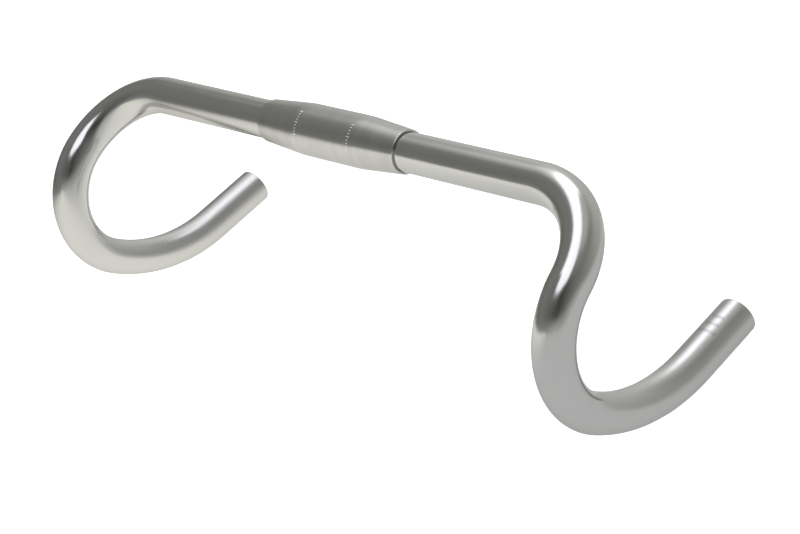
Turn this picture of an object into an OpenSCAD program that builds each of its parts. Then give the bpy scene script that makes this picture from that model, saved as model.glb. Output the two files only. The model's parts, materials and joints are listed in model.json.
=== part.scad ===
// Drop handlebar for a road bicycle: one bent aluminium tube with a bulged centre,
// and the reinforcing sleeve that is formed onto the bulge and takes the stem's clamp.
//
// Frame: millimetres. The origin is the centre of the clamp zone. +X runs along the clamp
// axis to the rider's left, -Y is forward and +Z is up, with the ends of the drops level.

/* [Tube] */
// Outside diameter of the tube, which levers and grips fit
tube_d = 23.8; // [22.2:0.1:25.4]
// Wall thickness of the tube
tube_wall = 1.8; // [1.2:0.1:2.4]
// Chamfer on the cut ends of the tube
tube_chamfer = 0.4; // [0.2:0.1:0.6]
// How far bending draws the tube in, on the radius, at the shoulders and hooks
draw_in = 0.12; // [0.1:0.02:0.3]

/* [Centre] */
// Outside diameter of the clamp zone, which the stem grips
clamp_d = 31.8; // [30:0.1:35]
// Length of the straight clamp zone
clamp_length = 50; // [40:1:60]
// Length of the sleeve, with both of its tapers
sleeve_length = 116; // [100:1:140]
// Wall thickness of the sleeve
sleeve_wall = 1.3; // [0.8:0.1:1.8]
// Chamfer on the two rims of the sleeve
sleeve_chamfer = 0.3; // [0.1:0.1:0.5]

/* [Bends] */
// Width of the bar between the centres of its drops
bar_width = 420; // [380:10:460]
// Bend radius of each shoulder, at the centre of the tube
shoulder_r = 50; // [45:1:60]
// Slope of the ramps below level
ramp_slope = 22; // [12:1:32]
// Bend radius of each hook, at the centre of the tube
hook_r = 48; // [42:1:60]
// Angle that each hook turns through, in degrees
hook_turn = 113; // [100:1:125]
// Bend radius from each hook into its drop, at the centre of the tube
drop_r = 112; // [90:1:150]
// Length of the straight end of each drop
drop_length = 45; // [35:1:80]

/* [Hidden] */
$fn = 96;

tube_r = tube_d / 2;
bore_r = tube_r - tube_wall;
bulge_r = clamp_d / 2 - sleeve_wall;       // the tube's outside, under the clamp zone
sleeve_end_r = tube_r + sleeve_wall;
tops_half = bar_width / 2 - shoulder_r;    // where each shoulder starts
shoulder_turn = 90;
drop_turn = 180 - ramp_slope - hook_turn;  // brings the end of the drop level
cut_past = 1;                              // how far a cut runs past the metal
over_turn = 1;                             // how far a bend is swept past its end, in degrees

// The tube in its own colour, hollow from end to end.
module bar_tube() {
    color([0.80, 0.80, 0.79])
    difference() {
        bar_solid(tube_r, bulge_r, -tube_chamfer);
        bar_solid(bore_r, bulge_r - tube_wall, tube_chamfer);
    }
}

// The sleeve: an even wall that follows the tube's bulge, with a small chamfer on each rim.
module clamp_sleeve() {
    half = sleeve_length / 2;
    flat = clamp_length / 2;
    c = sleeve_chamfer;
    right = [[tube_r, half], [sleeve_end_r - c, half], [sleeve_end_r, half - c], [clamp_d / 2, flat]];
    left = [[clamp_d / 2, -flat], [sleeve_end_r, c - half], [sleeve_end_r - c, -half], [tube_r, -half]];
    color([0.76, 0.76, 0.75])
    turned_on_x(concat(right, left, [[bulge_r, -flat], [bulge_r, flat]]));
}

// The whole bar as a solid rod of radius r, with the bulge at its centre. The rod's ends
// widen by mouth over a cone of that depth, or narrow where mouth is negative.
module bar_solid(r, r_bulge, mouth) {
    half = sleeve_length / 2;
    flat = clamp_length / 2;
    turned_on_x([
        [0, -tops_half], [r, -tops_half], [r, -half], [r_bulge, -flat],
        [r_bulge, flat], [r, half], [r, tops_half], [0, tops_half]
    ]);
    for (side = [0, 1])
        mirror([side, 0, 0])
        translate([tops_half, 0, 0])
        rolled(180 + ramp_slope)
        bend(shoulder_r, shoulder_turn, r - draw_in)
        rolled(90)
        bend(hook_r, hook_turn, r - draw_in)
        bend(drop_r, drop_turn, r - draw_in / 2)
        drop_end(r, mouth);
}

// The straight end of a drop, along +X from the origin.
module drop_end(r, mouth) {
    depth = abs(mouth);
    rotate([0, 90, 0]) {
        cylinder(h = drop_length - depth, r = r);
        translate([0, 0, drop_length - depth])
        cylinder(h = depth, r1 = r, r2 = r + mouth);
        if (mouth > 0)
            translate([0, 0, drop_length])
            cylinder(h = cut_past, r = r + mouth);
    }
}

// A bend that starts at the origin along +X and turns towards +Y. Its children start where it
// ends. It's swept a little too far and cut square in their frame, so they meet on one plane.
module bend(radius, turn, r) {
    cut = r + cut_past;
    translate([0, radius, 0]) {
        difference() {
            rotate([0, 0, -90])
            rotate_extrude(angle = turn + over_turn)
            translate([radius, 0])
            circle(r);
            rotate([0, 0, turn])
            translate([0, -radius - cut, -cut])
            cube([2 * cut, 2 * cut, 2 * cut]);
        }
        rotate([0, 0, turn])
        translate([0, -radius, 0])
        children();
    }
}

// Rolls its children about the tube's own axis, which sets the plane of the next bend.
module rolled(angle) {
    rotate([angle, 0, 0]) children();
}

// A turned solid on the X axis, from points of [radius, x].
module turned_on_x(outline) {
    rotate([0, 90, 0])
    rotate_extrude()
    polygon(outline);
}

bar_tube();
clamp_sleeve();
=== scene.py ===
"""Looks for a bare drop handlebar: the bent tube, the sleeve at its clamp zone, a studio and a camera."""
import json
import math

import bpy
from mathutils import Matrix, Vector


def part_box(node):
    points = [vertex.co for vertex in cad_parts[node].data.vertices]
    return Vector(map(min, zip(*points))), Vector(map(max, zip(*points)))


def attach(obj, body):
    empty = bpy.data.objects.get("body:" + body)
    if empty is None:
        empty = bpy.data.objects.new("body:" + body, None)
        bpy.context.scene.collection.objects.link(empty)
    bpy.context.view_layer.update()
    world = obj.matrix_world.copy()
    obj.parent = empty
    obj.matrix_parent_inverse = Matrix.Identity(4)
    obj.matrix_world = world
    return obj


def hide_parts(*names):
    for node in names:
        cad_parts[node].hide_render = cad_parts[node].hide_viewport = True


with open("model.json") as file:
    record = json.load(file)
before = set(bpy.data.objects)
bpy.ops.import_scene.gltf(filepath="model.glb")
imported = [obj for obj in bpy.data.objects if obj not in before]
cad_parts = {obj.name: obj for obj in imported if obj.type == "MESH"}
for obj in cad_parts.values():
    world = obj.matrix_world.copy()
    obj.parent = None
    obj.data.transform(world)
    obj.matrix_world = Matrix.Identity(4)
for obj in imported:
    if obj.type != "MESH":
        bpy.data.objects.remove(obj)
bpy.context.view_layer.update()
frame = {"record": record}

MM = 0.001
ORIGIN = Vector((0, 0, 0))
X_AXIS, Y_AXIS, Z_AXIS = Vector((1, 0, 0)), Vector((0, 1, 0)), Vector((0, 0, 1))

# ---------------------------------------------------------------- sizes, from the frame

mounts = {m["name"]: m for m in frame["record"]["mounts"]}
_, sleeve_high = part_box("clamp_sleeve")
bar_low, bar_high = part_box("bar_tube")

# the tube, with the same small chamfer or rounding on every edge of its cut ends
drop_x, _, drop_z = mounts["left_bar_end"]["pos_m"]
tube_r = min(drop_z - bar_low.z, bar_high.x - drop_x)
bore_r = mounts["left_bar_end"]["dims"]["r_mm"] * MM
mouth = 0.4 * MM
drop_length = mounts["left_bar_end"]["dims"]["length_mm"] * MM + mouth

# the sleeve, how softly its flat runs into its tapers, and the tube's bulge under it
clamp_r = min(mounts["stem_clamp"]["dims"]["r_mm"] * MM, sleeve_high.z)
clamp_half = mounts["stem_clamp"]["dims"]["length_mm"] * MM / 2
sleeve_half = sleeve_high.x
sleeve_wall = 1.3 * MM
sleeve_end_r = mounts["left_drop_grip"]["dims"]["r_mm"] * MM + sleeve_wall
sleeve_rim = 0.3 * MM
sleeve_softness = 1.5 * MM
joint_gap = 0.03 * MM
bulge_r = clamp_r - sleeve_wall - joint_gap

# the bends, as radius at the tube's centre and angle
ramp_slope = math.radians(22)
shoulder_r, shoulder_turn = 50 * MM, math.radians(90)
hook_r, hook_turn = 48 * MM, math.radians(113)
drop_r, drop_turn = 112 * MM, math.radians(45)
tops_half = drop_x - shoulder_r
drop_start = tops_half + shoulder_r * shoulder_turn + hook_r * hook_turn

# how much a bend narrows the tube in its own plane and widens it across that plane, and the
# length at each end of the bend over which that sets in
bend_narrowing = 0.17 * MM
bend_widening = 0.12 * MM
bend_lead = 15 * MM

# the rings of points that the tube and the sleeve are made from
around = 80
outer_step = 3 * MM
inner_step = 8 * MM
sleeve_step = 1 * MM
sharp_angle = math.radians(30)

# etched ticks: how far they stand out of the metal and reach into it
tick_lift, tick_sunk = 0.012 * MM, 0.05 * MM

# the scale on the sleeve: a row is a place along the bar, and its first and last angle in degrees
scale_rows = ((-23 * MM, 19, 76), (22 * MM, 27, 80))
scale_ticks = 9
long_tick_every = 4
long_tick, short_tick, scale_tick_width = 2.4 * MM, 1.3 * MM, 0.75 * MM

# the rows near the end of the left drop, by how many ticks each has
drop_row_counts = (8, 6, 5)
drop_row_start, drop_row_pitch = 28 * MM, 6.2 * MM
drop_row_roll = math.radians(4)
drop_tick_pitch, drop_tick_width = 1.5 * MM, 0.6 * MM
tall_drop_tick, low_drop_tick = 2.6 * MM, 1.6 * MM

# ---------------------------------------------------------------- tones of the metal and the floor

# reflectance seen square on, from the darkest patches to the lightest, and its tint at the edges
tube_dark, tube_light = (0.565, 0.56, 0.53), (0.59, 0.585, 0.555)
sleeve_dark, sleeve_light = (0.52, 0.515, 0.48), (0.565, 0.56, 0.53)
edge_tint = (0.72, 0.72, 0.71, 1)

# roughness: the drops turn duller between two places along the tube
tube_gloss, drop_gloss, sleeve_gloss = 0.17, 0.36, 0.22
dull_from, dull_to = drop_start - 20 * MM, drop_start + 80 * MM

# noises on the metal, as the length and the width of their marks, the depth of the relief that
# they cut, and how far they take the roughness to either side
buffing_size, buffing_depth, buffing_spread = (14 * MM, 0.7 * MM), 0.0012 * MM, 0.03
streak_size, streak_depth = (30 * MM, 2.4 * MM), 0.008 * MM
cloud_size, cloud_spread = (24 * MM, 12 * MM), 0.02
ring_size, ring_depth, ring_spread = (1.1 * MM, 70 * MM), 0.0003 * MM, 0.02
band_size, band_weight = (5 * MM, 90 * MM), 0.6
sleeve_cloud_size, sleeve_cloud_weight = (9 * MM, 16 * MM), 0.4
frost_size, frost_depth, frost_spread = (0.25 * MM, 0.25 * MM), 0.004 * MM, 0.06

# a noise's values seldom leave this range
noise_low, noise_high = 0.3, 0.7

# the etched ticks, as their darkest and lightest reflectance and their roughness
pale_etching = (0.80, 0.80, 0.79), (0.95, 0.95, 0.94), 0.5
dark_etching = (0.22, 0.22, 0.21), (0.36, 0.36, 0.35), 0.45

floor_dark, floor_light = (0.84, 0.84, 0.84), (0.86, 0.86, 0.86)
floor_patch = (60 * MM, 60 * MM)
floor_glow = 0.9
floor_gap = 0.05 * MM
floor_reach = 4.0

# ---------------------------------------------------------------- places and tones of the studio

# The bar rests on the curves of its drops, so its own frame is tilted. The studio has a level
# frame: X as the bar's, -Y to its front, and Z up from the table.
table_tilt = math.radians(26.87)
studio_turn = Matrix.Rotation(-table_tilt, 3, "X")

# The table lies table_drop below the centre of the clamp zone. Its tone goes from the first to the
# second as x goes from -table_fade to table_fade, and it darkens to dusk_tone far to the right.
table_drop = 132.3 * MM
table_reach = 3.0
table_edge = -0.9
table_fade = 0.25
table_tones = (1.12, 0.72)
table_warm, table_cool = (1.0, 0.995, 0.97), (0.985, 0.985, 1.03)
table_dusk = (-0.64, -0.20)
dusk_tone = 0.25

# a long softbox close above the bar
overhead_place = Vector((-0.077, -0.067, 0.67))
overhead_size = (0.33, 0.96)
overhead_radiance = 1.25
overhead_tint = (0.96, 0.975, 1.10)

# the walls, at eight angles in degrees from the front, and the elevations where they blend
wall_azimuths = (-180, -135, -105, -60, -10, 30, 65, 120)
low_wall = (0.78, 0.75, 0.22, 0.22, 0.30, 0.55, 0.46, 0.62)
middle_wall = (0.64, 0.85, 0.26, 0.26, 0.16, 0.05, 0.18, 0.38)
upper_wall = (0.50, 1.00, 1.10, 0.34, 0.10, 0.20, 0.29, 0.28)
ceiling = (0.58, 0.58, 0.58)
low_to_middle = (1.0, 15.0)
middle_to_upper = (38.0, 54.0)
upper_to_ceiling = (55.0, 75.0)
backdrop = (1.0, 1.0, 1.0)

# A large softbox further off, to the front. It hangs level, so its edges are drawn on a plane at a
# height of 1. An edge is (a, b, c, softness), and the softbox lies where a * right + b * back < c.
front_softbox = (1.62, 1.66, 1.82)
front_softbox_edges = (
    (0.0, -1.0, 1.40, 0.05),
    (-1.0, 0.0, 0.37, 0.08),
    (0.85, -0.53, 0.89, 0.03),
    (0.84, 0.55, 0.0, 0.04),
)
lowest_height = 0.05

# the camera: its angles in degrees round the place that it aims at, in the bar's own frame
camera_azimuth, camera_elevation, camera_roll = 55.334, 33.812, -22.681
camera_aim = Vector((40.92, -24.18, -70.79)) * MM
camera_distance = 1.2246
camera_sensor, camera_lens = 36, 93.458


# ---------------------------------------------------------------- mesh helpers

def smoothstep(value):
    t = min(max(value, 0.0), 1.0)
    return t * t * (3 - 2 * t)


def plain_mesh(name, verts, faces):
    mesh = bpy.data.meshes.new(name)
    mesh.from_pydata([tuple(v) for v in verts], [], faces)
    mesh.update()
    return mesh


def grid_mesh(name, rings, lengths):
    """A closed surface through a loop of rings.

    Its UV map holds metres along the axis, and turns round it.
    """
    count = len(rings)
    faces, uvs = [], []
    for i in range(count):
        j = (i + 1) % count
        for k in range(around):
            m = (k + 1) % around
            faces.append((i * around + k, i * around + m, j * around + m, j * around + k))
            low, high = k / around, (k + 1) / around
            uvs += [(lengths[i], low), (lengths[i], high), (lengths[j], high), (lengths[j], low)]
    mesh = plain_mesh(name, [point for ring in rings for point in ring], faces)
    layer = mesh.uv_layers.new(name="along")
    for loop, uv in zip(layer.data, uvs):
        loop.uv = uv
    mesh.shade_smooth()
    mesh.set_sharp_from_angle(angle=sharp_angle)
    return mesh


def add_object(name, mesh, material):
    mesh.materials.append(material)
    obj = bpy.data.objects.new(name, mesh)
    bpy.context.scene.collection.objects.link(obj)
    return obj


def rounded(start, corner, end, count=4):
    """Points of [place, radius] on the curve that rounds off a corner."""
    points = []
    for i in range(count + 1):
        t = i / count
        points.append([
            (1 - t) ** 2 * a + 2 * t * (1 - t) * b + t * t * c
            for a, b, c in zip(start, corner, end)
        ])
    return points


# ---------------------------------------------------------------- the bar's route

class Station:
    """A place on the tube's axis: its point, the tube's direction, and the two axes of its section.

    length is its distance from the bar's centre, measured along the tube. across_change and
    side_change add to the section's radius along those two axes.
    """

    def __init__(self, point, along, across, length, across_change=0.0, side_change=0.0):
        self.point, self.along, self.across, self.length = point, along, across, length
        self.across_change, self.side_change = across_change, side_change

    def ring(self, radius, shift=0.0):
        side = self.along.cross(self.across)
        centre = self.point + self.along * shift
        across_r, side_r = radius + self.across_change, radius + self.side_change
        turns = (2 * math.pi * k / around for k in range(around))
        return [
            centre + self.across * (across_r * math.cos(t)) + side * (side_r * math.sin(t))
            for t in turns
        ]


def half_route(step):
    """Stations from the bar's centre to the end of its left drop."""
    across = Vector((0, -math.sin(ramp_slope), math.cos(ramp_slope)))
    stations = [Station(ORIGIN, X_AXIS, across, 0.0)]

    def straight(distance):
        start = stations[-1]
        count = max(1, math.ceil(distance / step))
        for i in range(1, count + 1):
            d = distance * i / count
            point = start.point + start.along * d
            stations.append(Station(point, start.along, start.across, start.length + d))

    def bend(radius, turn, towards, across_change, side_change):
        start = stations[-1]
        centre = start.point + towards * radius
        axis = start.along.cross(towards)
        total = radius * turn
        count = max(2, math.ceil(total / step))
        for i in range(1, count + 1):
            spin = Matrix.Rotation(turn * i / count, 3, axis)
            done = total * i / count
            share = smoothstep(min(done, total - done) / bend_lead)
            point = centre + spin @ (start.point - centre)
            stations.append(Station(
                point, spin @ start.along, spin @ start.across, start.length + done,
                across_change * share, side_change * share))

    straight(tops_half)
    down_ramp = Vector((0, -math.cos(ramp_slope), -math.sin(ramp_slope)))
    bend(shoulder_r, shoulder_turn, down_ramp, bend_widening, -bend_narrowing)
    under = Vector((0, math.sin(ramp_slope), -math.cos(ramp_slope)))
    bend(hook_r, hook_turn, under, -bend_narrowing, 0.0)
    bend(drop_r, drop_turn, X_AXIS.cross(stations[-1].along), -bend_narrowing / 2, 0.0)
    straight(drop_length)
    return stations


def whole_route(step):
    """Stations from the end of the right drop to the end of the left one."""
    left = half_route(step)
    flip = Vector((-1, 1, 1))
    right = [
        Station(
            s.point * flip, -(s.along * flip), s.across * flip, -s.length,
            s.across_change, s.side_change)
        for s in reversed(left[1:])
    ]
    return right + left


# ---------------------------------------------------------------- the tube

def swell(length):
    """How far the tube's bulge stands out from the plain tube, at a length from the bar's centre."""
    share = (sleeve_half - abs(length)) / (sleeve_half - clamp_half)
    return (bulge_r - tube_r) * min(max(share, 0.0), 1.0)


def end_rings(station, outward):
    """The cut end of the tube: a rounded outer edge, a flat face, and a chamfered mouth."""
    edge = rounded((-mouth, tube_r), (0, tube_r), (0, tube_r - mouth))
    edge += [(0, bore_r + mouth), (-mouth, bore_r)]
    return [
        (station.ring(radius, depth * outward), station.length + depth * outward)
        for depth, radius in edge
    ]


def tube_mesh():
    outer = whole_route(outer_step)
    inner = whole_route(inner_step)
    inner.reverse()
    walls = [(s.ring(tube_r + swell(s.length)), s.length) for s in outer[1:-1]]
    walls += end_rings(outer[-1], 1)
    walls += [(s.ring(bore_r + swell(s.length)), s.length) for s in inner[1:-1]]
    walls += reversed(end_rings(outer[0], -1))
    return grid_mesh("bar_tube_skin", [ring for ring, _ in walls], [length for _, length in walls])


# ---------------------------------------------------------------- the sleeve

def sleeve_radius(x):
    """The outside of the sleeve, with soft corners between its flat and its tapers."""
    slope = (clamp_r - sleeve_end_r) / (sleeve_half - clamp_half)
    past = (abs(x) - clamp_half) / sleeve_softness
    return clamp_r - slope * sleeve_softness * math.log(1 + math.exp(past))


def sleeve_mesh():
    inside = sleeve_half - sleeve_rim
    count = round(2 * inside / sleeve_step)
    places = [-inside + 2 * inside * i / count for i in range(count + 1)]
    outside = [(x, sleeve_radius(x)) for x in places]
    edge = (sleeve_half, sleeve_end_r)
    rim = rounded((inside, sleeve_radius(inside)), edge, (sleeve_half, sleeve_end_r - sleeve_rim))
    end_bore, middle_bore = sleeve_end_r - sleeve_wall, clamp_r - sleeve_wall
    right = rim[1:] + [(sleeve_half, end_bore + sleeve_rim), (inside, end_bore)]
    bore = [(clamp_half, middle_bore), (-clamp_half, middle_bore)]
    left = [(-x, radius) for x, radius in reversed(right)]
    outline = outside + right + bore + left
    rings = [Station(X_AXIS * x, X_AXIS, Z_AXIS, x).ring(radius) for x, radius in outline]
    return grid_mesh("clamp_sleeve_skin", rings, [x for x, _ in outline])


# ---------------------------------------------------------------- etched ticks

def tick_mesh(name, ticks, radius, centre, axis, front):
    """Small etched plates on a cylinder.

    A tick is (place along the axis, length along it, angle, width).
    """
    side = axis.cross(front)
    verts, faces = [], []
    for along, length, angle, width in ticks:
        first = len(verts)
        spread = width / radius / 2
        for r in (radius - tick_sunk, radius + tick_lift):
            for a, d in ((-spread, -length), (spread, -length), (spread, length), (-spread, length)):
                out = front * math.cos(angle + a) + side * math.sin(angle + a)
                verts.append(centre + axis * (along + d / 2) + out * r)
        box = ((3, 2, 1, 0), (4, 5, 6, 7), (0, 1, 5, 4), (1, 2, 6, 5), (2, 3, 7, 6), (3, 0, 4, 7))
        faces += [tuple(first + k for k in face) for face in box]
    return plain_mesh(name, verts, faces)


def scale_mesh():
    """Two rows of a rotation scale round the clamp zone, with a longer tick at every fourth place."""
    ticks = []
    for x, start, end in scale_rows:
        for i in range(scale_ticks):
            angle = math.radians(start + (end - start) * i / (scale_ticks - 1))
            length = short_tick if i % long_tick_every else long_tick
            ticks.append((x, length, angle, scale_tick_width))
    return tick_mesh("clamp_scale", ticks, clamp_r, ORIGIN, -X_AXIS, -Y_AXIS)


def drop_tick_mesh():
    """Rows of plain ticks on top of the left drop, near its end, with every third one shorter."""
    ticks = []
    for row, count in enumerate(drop_row_counts):
        place = -drop_row_start + row * drop_row_pitch
        for i in range(count):
            angle = (i - (count - 1) / 2) * drop_tick_pitch / tube_r + drop_row_roll
            length = tall_drop_tick if (i + row) % 3 else low_drop_tick
            ticks.append((place, length, angle, drop_tick_width))
    end_point = half_route(outer_step)[-1].point
    return tick_mesh("drop_ticks", ticks, tube_r, end_point, Y_AXIS, Z_AXIS)


# ---------------------------------------------------------------- node helpers

def new_material(name):
    material = bpy.data.materials.new(name)
    material.use_nodes = True
    tree = material.node_tree
    return material, tree, tree.nodes["Principled BSDF"]


def node(tree, kind, values=None, **settings):
    """Adds a node, sets its properties, and sets or links its inputs."""
    made = tree.nodes.new(kind)
    for key, value in settings.items():
        setattr(made, key, value)
    for key, value in (values or {}).items():
        if isinstance(value, bpy.types.NodeSocket):
            tree.links.new(value, made.inputs[key])
        else:
            made.inputs[key].default_value = value
    return made


def math_node(tree, operation, *values):
    return node(tree, "ShaderNodeMath", dict(enumerate(values)), operation=operation).outputs[0]


def fade(tree, value, low, high, start=0.0, end=1.0):
    """Smoothly takes start to end as value goes from low to high."""
    limits = {"Value": value, "From Min": low, "From Max": high, "To Min": start, "To Max": end}
    return node(tree, "ShaderNodeMapRange", limits, interpolation_type="SMOOTHSTEP").outputs["Result"]


def mixed(tree, factor, below, above):
    """Below where the factor is 0, and above where it is 1. Each is a colour or an output."""
    blend = node(tree, "ShaderNodeMix", data_type="RGBA")
    tree.links.new(factor, blend.inputs["Factor"])
    for name, value in (("A", below), ("B", above)):
        if isinstance(value, tuple):
            blend.inputs[name].default_value = (*value, 1)
        else:
            tree.links.new(value, blend.inputs[name])
    return blend.outputs["Result"]


def round_the_bar(tree):
    """A place on the bar with no seam: metres along the axis, then across the section both ways."""
    uv = node(tree, "ShaderNodeUVMap", uv_map="along").outputs[0]
    along, turns, _ = node(tree, "ShaderNodeSeparateXYZ", {0: uv}).outputs
    turn = math_node(tree, "MULTIPLY", turns, 2 * math.pi)
    up = math_node(tree, "MULTIPLY", math_node(tree, "COSINE", turn), tube_r)
    side = math_node(tree, "MULTIPLY", math_node(tree, "SINE", turn), tube_r)
    place = node(tree, "ShaderNodeCombineXYZ", {0: along, 1: up, 2: side}).outputs[0]
    return place, along


def grain(tree, place, along, across, detail=3.0):
    """Noise whose marks are about this long and this wide, in metres."""
    scale = (1 / along, 1 / across, 1 / across)
    stretched = node(tree, "ShaderNodeVectorMath", {0: place, 1: scale}, operation="MULTIPLY").outputs[0]
    values = {"Vector": stretched, "Scale": 1.0, "Detail": detail, "Roughness": 0.55}
    return node(tree, "ShaderNodeTexNoise", values).outputs["Fac"]


def from_noise(tree, noise, start, end):
    """Takes start to end over the range that a noise covers."""
    return fade(tree, noise, noise_low, noise_high, start, end)


def relief(tree, height, distance, below=None):
    values = {"Height": height, "Distance": distance, "Strength": 1.0}
    if below is not None:
        values["Normal"] = below
    return node(tree, "ShaderNodeBump", values).outputs["Normal"]


# ---------------------------------------------------------------- materials

def polished_tube():
    """Satin-polished aluminium, buffed along the tube. The ends of the drops are left duller."""
    material, tree, shader = new_material("polished_tube")
    place, along = round_the_bar(tree)
    buffing = grain(tree, place, *buffing_size)
    streaks = grain(tree, place, *streak_size, detail=2.0)
    cloud = grain(tree, place, *cloud_size)
    shader.inputs["Metallic"].default_value = 1.0
    shader.inputs["Specular Tint"].default_value = edge_tint
    tree.links.new(mixed(tree, cloud, tube_dark, tube_light), shader.inputs["Base Color"])

    away = math_node(tree, "ABSOLUTE", along)
    dull = fade(tree, away, dull_from, dull_to, tube_gloss, drop_gloss)
    fine = from_noise(tree, buffing, -buffing_spread, buffing_spread)
    broad = from_noise(tree, cloud, -cloud_spread, cloud_spread)
    uneven = math_node(tree, "ADD", fine, broad)
    tree.links.new(math_node(tree, "ADD", dull, uneven), shader.inputs["Roughness"])

    wave = relief(tree, streaks, streak_depth)
    tree.links.new(relief(tree, buffing, buffing_depth, wave), shader.inputs["Normal"])
    return material


def turned_sleeve():
    """Aluminium turned on a lathe: fine rings round the axis that draw reflections out along it."""
    material, tree, shader = new_material("turned_sleeve")
    place, _ = round_the_bar(tree)
    rings = grain(tree, place, *ring_size, detail=2.0)
    bands = grain(tree, place, *band_size)
    cloud = grain(tree, place, *sleeve_cloud_size)
    shader.inputs["Metallic"].default_value = 1.0
    shader.inputs["Specular Tint"].default_value = edge_tint
    shader.inputs["Anisotropic"].default_value = 0.6
    tangent = node(tree, "ShaderNodeTangent", direction_type="UV_MAP", uv_map="along").outputs[0]
    tree.links.new(tangent, shader.inputs["Tangent"])

    band_share = from_noise(tree, bands, 0.0, band_weight)
    cloud_share = from_noise(tree, cloud, 0.0, sleeve_cloud_weight)
    shade = math_node(tree, "ADD", band_share, cloud_share)
    tree.links.new(mixed(tree, shade, sleeve_dark, sleeve_light), shader.inputs["Base Color"])
    gloss = from_noise(tree, rings, sleeve_gloss - ring_spread, sleeve_gloss + ring_spread)
    tree.links.new(gloss, shader.inputs["Roughness"])
    tree.links.new(relief(tree, rings, ring_depth), shader.inputs["Normal"])
    return material


def etched_mark(name, dark, light, roughness):
    """Frosted metal left by a marking laser."""
    material, tree, shader = new_material(name)
    place = node(tree, "ShaderNodeTexCoord").outputs["Object"]
    frost = grain(tree, place, *frost_size)
    shader.inputs["Metallic"].default_value = 0.8
    tree.links.new(mixed(tree, frost, dark, light), shader.inputs["Base Color"])
    uneven = from_noise(tree, frost, roughness - frost_spread, roughness + frost_spread)
    tree.links.new(uneven, shader.inputs["Roughness"])
    tree.links.new(relief(tree, frost, frost_depth), shader.inputs["Normal"])
    return material


def pale_floor():
    """A white surface that also glows, so that the bar throws no hard shadow on it."""
    material, tree, shader = new_material("pale_floor")
    place = node(tree, "ShaderNodeTexCoord").outputs["Object"]
    tone = grain(tree, place, *floor_patch)
    colour = mixed(tree, tone, floor_dark, floor_light)
    tree.links.new(colour, shader.inputs["Base Color"])
    tree.links.new(colour, shader.inputs["Emission Color"])
    shader.inputs["Emission Strength"].default_value = floor_glow
    shader.inputs["Roughness"].default_value = 0.9
    shader.inputs["Specular IOR Level"].default_value = 0.0
    return material


def table_glow():
    """A lit table top: warmer and brighter on the bar's right than on its left, and shaded far out."""
    material, tree, shader = new_material("table_glow")
    place = node(tree, "ShaderNodeTexCoord").outputs["Object"]
    x, _, _ = node(tree, "ShaderNodeSeparateXYZ", {0: place}).outputs
    shader.inputs["Base Color"].default_value = (0, 0, 0, 1)
    shader.inputs["Specular IOR Level"].default_value = 0.0
    side = fade(tree, x, -table_fade, table_fade)
    tree.links.new(mixed(tree, side, table_warm, table_cool), shader.inputs["Emission Color"])
    tone = fade(tree, x, -table_fade, table_fade, *table_tones)
    dusk = fade(tree, x, *table_dusk, dusk_tone, 1.0)
    tree.links.new(math_node(tree, "MULTIPLY", tone, dusk), shader.inputs["Emission Strength"])
    return material


# ---------------------------------------------------------------- studio

def studio_world():
    """The room as soft panels of light. The camera sees a white backdrop in its place."""
    world = bpy.data.worlds.new("studio")
    bpy.context.scene.world = world
    world.use_nodes = True
    tree = world.node_tree
    direction = node(tree, "ShaderNodeTexCoord").outputs["Generated"]
    turn = {"Vector": direction, "Rotation": (table_tilt, 0, 0)}
    level = node(tree, "ShaderNodeMapping", turn, vector_type="VECTOR").outputs[0]
    x, y, z = node(tree, "ShaderNodeSeparateXYZ", {0: level}).outputs
    front = math_node(tree, "MULTIPLY", y, -1.0)
    azimuth = math_node(tree, "DEGREES", math_node(tree, "ARCTAN2", x, front))
    elevation = math_node(tree, "DEGREES", math_node(tree, "ARCSINE", z))

    low = wall_ramp(tree, azimuth, low_wall)
    middle = wall_ramp(tree, azimuth, middle_wall)
    upper = wall_ramp(tree, azimuth, upper_wall)
    tone = mixed(tree, fade(tree, elevation, *low_to_middle), low, middle)
    tone = mixed(tree, fade(tree, elevation, *middle_to_upper), tone, upper)
    tone = mixed(tree, fade(tree, elevation, *upper_to_ceiling), tone, ceiling)
    tone = mixed(tree, softbox_mask(tree, x, y, z), tone, front_softbox)
    seen_directly = node(tree, "ShaderNodeLightPath").outputs["Is Camera Ray"]
    tone = mixed(tree, seen_directly, tone, backdrop)
    tree.links.new(tone, tree.nodes["Background"].inputs["Color"])


def wall_ramp(tree, azimuth, tones):
    """The tone of the wall all the way round, from tones at wall_azimuths."""
    values = {"Value": azimuth, "From Min": -180.0, "From Max": 180.0}
    place = node(tree, "ShaderNodeMapRange", values).outputs["Result"]
    made = node(tree, "ShaderNodeValToRGB", {0: place})
    ramp = made.color_ramp
    stops = list(zip(wall_azimuths, tones)) + [(180, tones[0])]
    while len(ramp.elements) < len(stops):
        ramp.elements.new(0.5)
    for element, (degrees, tone) in zip(ramp.elements, stops):
        element.position = (degrees + 180) / 360
        element.color = (tone, tone, tone, 1)
    return made.outputs[0]


def softbox_mask(tree, x, y, z):
    """One inside the front softbox, and zero outside it."""
    height = math_node(tree, "MAXIMUM", z, lowest_height)
    right = math_node(tree, "DIVIDE", x, height)
    back = math_node(tree, "DIVIDE", y, height)
    mask = None
    for a, b, c, softness in front_softbox_edges:
        to_right = math_node(tree, "MULTIPLY", right, a)
        to_back = math_node(tree, "MULTIPLY", back, b)
        edge = fade(tree, math_node(tree, "ADD", to_right, to_back), c + softness, c - softness)
        mask = edge if mask is None else math_node(tree, "MULTIPLY", mask, edge)
    return mask


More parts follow.
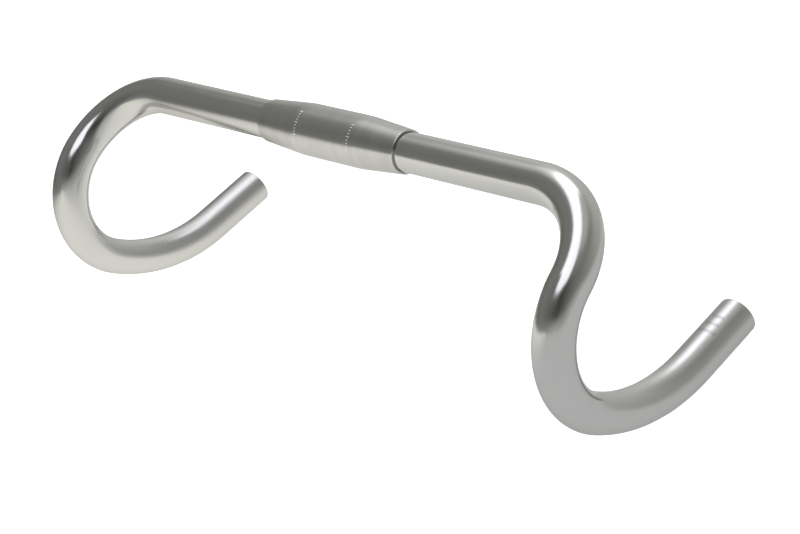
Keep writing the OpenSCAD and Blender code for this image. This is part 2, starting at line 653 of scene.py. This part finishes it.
def overhead_light():
    """A long softbox that hangs over the bar, level with the table."""
    data = bpy.data.lights.new("overhead", "AREA")
    data.shape = "RECTANGLE"
    data.size, data.size_y = overhead_size
    data.energy = overhead_radiance * math.pi * data.size * data.size_y
    data.color = overhead_tint
    lamp = bpy.data.objects.new("overhead", data)
    lamp.matrix_world = studio_turn.to_4x4() @ Matrix.Translation(overhead_place)
    lamp.visible_camera = False
    bpy.context.scene.collection.objects.link(lamp)


def table_card():
    """The tilted table top that the bar mirrors. The camera doesn't see it."""
    left, reach = table_edge, table_reach
    corners = ((left, -reach), (reach, -reach), (reach, reach), (left, reach))
    verts = [studio_turn @ Vector((x, y, -table_drop)) for x, y in corners]
    card = add_object("table_card", plain_mesh("table_card", verts, [(0, 1, 2, 3)]), table_glow())
    card.visible_camera = False
    card.visible_shadow = False


def floor_sheet():
    """A pale floor just below the bar, which the bar's own metal doesn't mirror."""
    z, reach = bar_low.z - floor_gap, floor_reach
    corners = ((-reach, -reach, z), (reach, -reach, z), (reach, reach, z), (-reach, reach, z))
    floor = add_object("floor", plain_mesh("floor", corners, [(0, 1, 2, 3)]), pale_floor())
    floor.visible_glossy = False


def photo_camera():
    """A long-lens camera at some distance from the place that it aims at, rolled to one side."""
    azimuth, elevation = math.radians(camera_azimuth), math.radians(camera_elevation)
    outward = math.cos(elevation)
    back = Vector((math.sin(azimuth) * outward, -math.cos(azimuth) * outward, math.sin(elevation)))
    level = Vector((math.cos(azimuth), math.sin(azimuth), 0))
    right = Matrix.Rotation(math.radians(camera_roll), 3, back) @ level
    turn = Matrix((right, back.cross(right), back)).transposed()
    data = bpy.data.cameras.new("camera")
    data.sensor_width = camera_sensor
    data.lens = camera_lens
    camera = bpy.data.objects.new("camera", data)
    camera.matrix_world = Matrix.Translation(camera_aim + back * camera_distance) @ turn.to_4x4()
    bpy.context.scene.collection.objects.link(camera)
    bpy.context.scene.camera = camera


# ---------------------------------------------------------------- the object

tube_metal = polished_tube()
sleeve_metal = turned_sleeve()
pale_mark = etched_mark("pale_mark", *pale_etching)
dark_mark = etched_mark("dark_mark", *dark_etching)

tube = add_object("bar_tube_skin", tube_mesh(), tube_metal)
sleeve = add_object("clamp_sleeve_skin", sleeve_mesh(), sleeve_metal)
sleeve_marks = add_object("clamp_scale", scale_mesh(), pale_mark)
drop_marks = add_object("drop_ticks", drop_tick_mesh(), dark_mark)

for piece, slot in ((tube, "tube"), (sleeve, "sleeve"), (sleeve_marks, "sleeve"), (drop_marks, "tube")):
    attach(piece, "root")
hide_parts("bar_tube")
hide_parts("clamp_sleeve")

floor_sheet()
table_card()
overhead_light()
studio_world()
photo_camera()
bpy.context.scene.view_settings.view_transform = "Standard"
